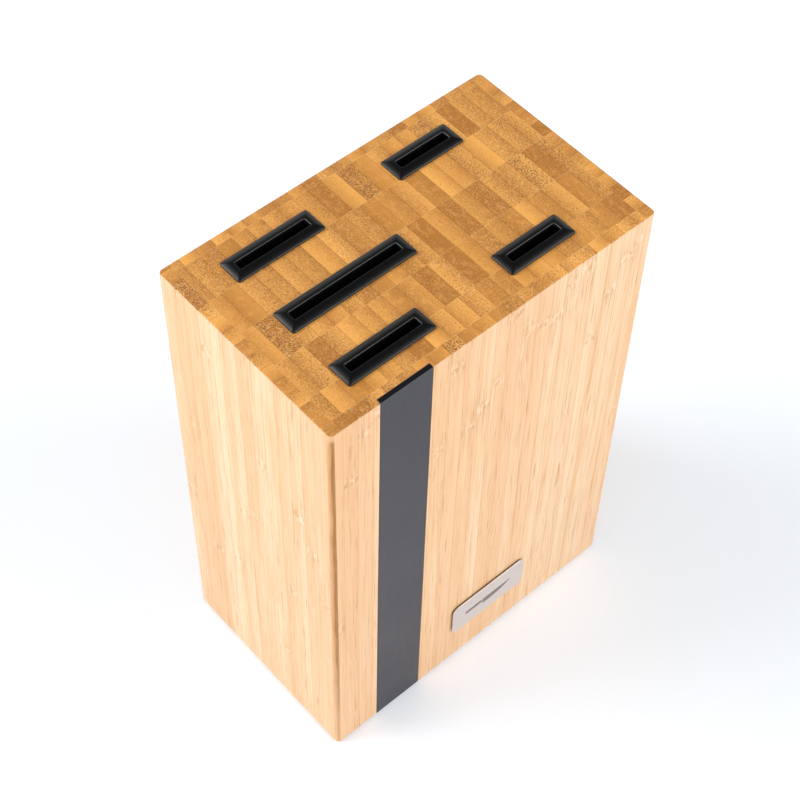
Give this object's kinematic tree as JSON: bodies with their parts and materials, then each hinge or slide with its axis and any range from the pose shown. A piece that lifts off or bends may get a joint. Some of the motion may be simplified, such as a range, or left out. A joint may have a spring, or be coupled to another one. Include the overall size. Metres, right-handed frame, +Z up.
{
  "type": "knife block",
  "caption": "Upright hollow bamboo knife block, empty, with collar-lined slots in an end-grain top, a dark metal strip let into the front, a small metal badge and rubber foot pads.",
  "frame": {"origin": "on the floor under the middle of the case, level with the underside of the foot pads", "axes": "+Z up, +X along the rows of slots to the right as seen from the front, front with the strip and badge towards -Y"},
  "size_m": [0.15, 0.0935, 0.2232],
  "materials": {
    "bamboo_panel": "pale bamboo, upright grain in narrow strips, sanded and oiled",
    "bamboo_end_grain": "caramel bamboo end grain in narrow blocks, sanded and oiled",
    "moulded_collar": "black moulded plastic, fine satin texture",
    "black_anodised_metal": "black anodised, satin",
    "brushed_metal": "fine brushed, satin",
    "foam_tape": "dark closed-cell foam tape, matt",
    "pad_rubber": "dark grey rubber, matt"
  },
  "bodies": {
    "root": {"left_panel": "bamboo_panel", "right_panel": "bamboo_panel", "front_panel": "bamboo_panel", "rear_panel": "bamboo_panel", "base_board": "bamboo_panel", "top_board_1": "bamboo_end_grain", "top_board_2": "bamboo_end_grain", "top_board_3": "bamboo_end_grain", "top_board_4": "bamboo_end_grain", "top_board_5": "bamboo_end_grain", "collar_rear_left": "moulded_collar", "collar_rear_right": "moulded_collar", "collar_middle": "moulded_collar", "collar_front_left": "moulded_collar", "collar_front_right": "moulded_collar", "front_strip": "black_anodised_metal", "badge_plate": "brushed_metal", "badge_tape": "foam_tape", "foot_pad_front_left": "pad_rubber", "foot_pad_front_right": "pad_rubber", "foot_pad_rear_left": "pad_rubber", "foot_pad_rear_right": "pad_rubber"}
  },
  "joints": []
}
